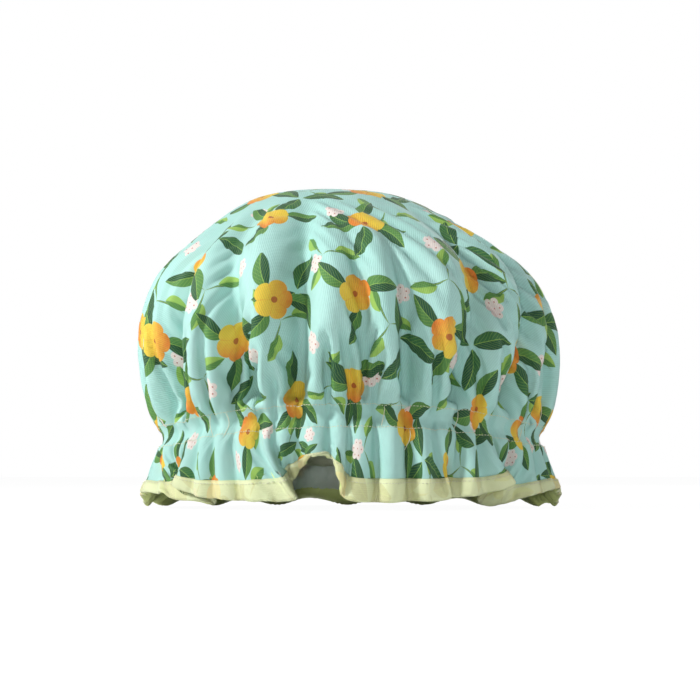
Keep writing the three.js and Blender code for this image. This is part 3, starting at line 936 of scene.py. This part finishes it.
def thread_piece(name, runs, material):
    corners, faces, way = tube(runs, THREAD_RADIUS)
    piece = new_object(name, corners, faces)
    keep_values(piece, "along", np.stack([way / MM, 0 * way, 0 * way], 1))
    piece.data.materials.append(material)
    return piece


def stitch_row(radius, off):
    """Stitches round the cap at one radius of the flat cut. Each dips into the cloth at its ends."""
    count = round(2 * np.pi * radius / STITCH_PITCH)
    middles = np.arange(count) / count * 360 - 180
    half = STITCH_SHARE / 2 * 360 / count
    runs = []
    for share, high in STITCH_POINTS:
        turns = middles + share * half
        facing = unit(disc.sample(cloth_normals, radius, turns))
        runs.append(disc.sample(cloth, radius, turns) + facing * (off + high))
    return np.stack(runs, 1)


def loose_threads(rng):
    """Cut thread ends that hang from the seams of the tunnel."""
    runs = []
    for turn in LOOSE_TURNS:
        seam = CROWN_LENGTH + rng.choice([0, 1]) * TUNNEL_WIDTH
        start_turn = turn + rng.uniform(-LOOSE_SHIFT, LOOSE_SHIFT)
        start = disc.sample(cloth, seam, np.array([start_turn]))[0]
        facing = disc.sample(cloth_normals, CROWN_LENGTH, np.array([float(turn)]))[0]
        beside = np.cross(facing, [0, 0, 1])
        way = np.linspace(0, 1, 9)[:, None]
        length = rng.uniform(LOOSE_SHORTEST, LOOSE_LONGEST) * MM
        curl = rng.uniform(-1, 1) * LOOSE_CURL * MM
        hang = np.where(rng.uniform() < 0.5, 1, -1) * length * np.array([0, 0, 1])
        runs.append(start + facing * (0.4 + 2.2 * np.sin(np.pi * way * 0.6)) * MM + hang * way
                    + beside * curl * np.sin(np.pi * way * 1.3))
    return np.stack(runs)


binding = make_binding()
elastic = make_elastic()
tape = make_tape()
cream_thread = thread_material()
tunnel_rows = np.concatenate([stitch_row(CROWN_LENGTH, 0), stitch_row(TUNNEL_END, 0)])
tunnel_stitches = thread_piece("tunnel_stitches", tunnel_rows, cream_thread)
hem_row = stitch_row(HEM_RADIUS - HEM_STITCH_IN, HEM_STITCH_OFF)
hem_stitches = thread_piece("hem_stitches", hem_row, cream_thread)
threads = thread_piece("loose_threads", loose_threads(rng), cream_thread)

slots = [(outer, "printed_cloth"), (lining, "waterproof_lining"), (binding, "satin_binding"),
         (elastic, "elastic"), (tape, "tape"), (tunnel_stitches, "tape"),
         (hem_stitches, "satin_binding"), (threads, "tape")]
for piece, slot in slots:
    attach(piece, "root")
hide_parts("outer_shell")
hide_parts("lining")
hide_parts("edge_binding")
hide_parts("elastic_band")
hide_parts("elastic_tunnel_tape")


# Studio.

def make_camera():
    lens = bpy.data.cameras.new("camera")
    camera = bpy.data.objects.new("camera", lens)
    bpy.context.scene.collection.objects.link(camera)
    camera.location = (0, -CAMERA_AWAY, CAMERA_HIGH)
    camera.rotation_euler = (AIM - camera.location).to_track_quat("-Z", "Y").to_euler()
    lens.sensor_width = 36
    lens.lens = lens.sensor_width * (AIM - camera.location).length / VIEW_WIDTH
    bpy.context.scene.camera = camera


def area_light(name, place, size, watts):
    light = bpy.data.lights.new(name, "AREA")
    light.shape = "SQUARE"
    light.size = size
    light.energy = watts
    lamp = bpy.data.objects.new(name, light)
    bpy.context.scene.collection.objects.link(lamp)
    lamp.location = place
    lamp.rotation_euler = (AIM - Vector(place)).to_track_quat("-Z", "Y").to_euler()


def make_floor():
    """A pale floor that also glows where the camera sees it, so that it renders white."""
    mesh = bpy.data.meshes.new("floor")
    corners = [(x * FLOOR_HALF, y * FLOOR_HALF, 0) for x, y in ((-1, -1), (1, -1), (1, 1), (-1, 1))]
    mesh.from_pydata(corners, [], [(0, 1, 2, 3)])
    floor = bpy.data.objects.new("floor", mesh)
    bpy.context.scene.collection.objects.link(floor)
    made = bpy.data.materials.new("floor")
    made.use_nodes = True
    nodes, links = made.node_tree.nodes, made.node_tree.links
    shader = nodes["Principled BSDF"]
    shader.inputs["Base Color"].default_value = FLOOR_COLOUR
    shader.inputs["Roughness"].default_value = FLOOR_ROUGHNESS
    glow = nodes.new("ShaderNodeEmission")
    glow.inputs["Strength"].default_value = FLOOR_GLOW
    path = nodes.new("ShaderNodeLightPath")
    seen = nodes.new("ShaderNodeMath")
    seen.operation = "MULTIPLY"
    seen.inputs[1].default_value = FLOOR_GLOW_SHARE
    mixed = nodes.new("ShaderNodeMixShader")
    links.new(path.outputs["Is Camera Ray"], seen.inputs[0])
    links.new(seen.outputs[0], mixed.inputs[0])
    links.new(shader.outputs[0], mixed.inputs[1])
    links.new(glow.outputs[0], mixed.inputs[2])
    links.new(mixed.outputs[0], nodes["Material Output"].inputs["Surface"])
    mesh.materials.append(made)


def make_world():
    """White where it is seen, mirrored or seen through a piece, and dim where it lights the cap."""
    world = bpy.data.worlds.new("studio")
    bpy.context.scene.world = world
    world.use_nodes = True
    nodes, links = world.node_tree.nodes, world.node_tree.links
    seen = nodes["Background"]
    seen.inputs["Color"].default_value = (1, 1, 1, 1)
    seen.inputs["Strength"].default_value = 1
    lit = nodes.new("ShaderNodeBackground")
    lit.inputs["Color"].default_value = WORLD_TINT
    lit.inputs["Strength"].default_value = WORLD_LIGHT
    path = nodes.new("ShaderNodeLightPath")
    either = nodes.new("ShaderNodeMath")
    either.operation = "MAXIMUM"
    any_of = nodes.new("ShaderNodeMath")
    any_of.operation = "MAXIMUM"
    mixed = nodes.new("ShaderNodeMixShader")
    links.new(path.outputs["Is Camera Ray"], either.inputs[0])
    links.new(path.outputs["Is Glossy Ray"], either.inputs[1])
    links.new(either.outputs[0], any_of.inputs[0])
    links.new(path.outputs["Is Transmission Ray"], any_of.inputs[1])
    links.new(any_of.outputs[0], mixed.inputs[0])
    links.new(lit.outputs[0], mixed.inputs[1])
    links.new(seen.outputs[0], mixed.inputs[2])
    links.new(mixed.outputs[0], nodes["World Output"].inputs["Surface"])


make_camera()
make_floor()
make_world()
for lamp in LAMPS:
    area_light(*lamp)
bpy.context.scene.view_settings.view_transform = "Standard"
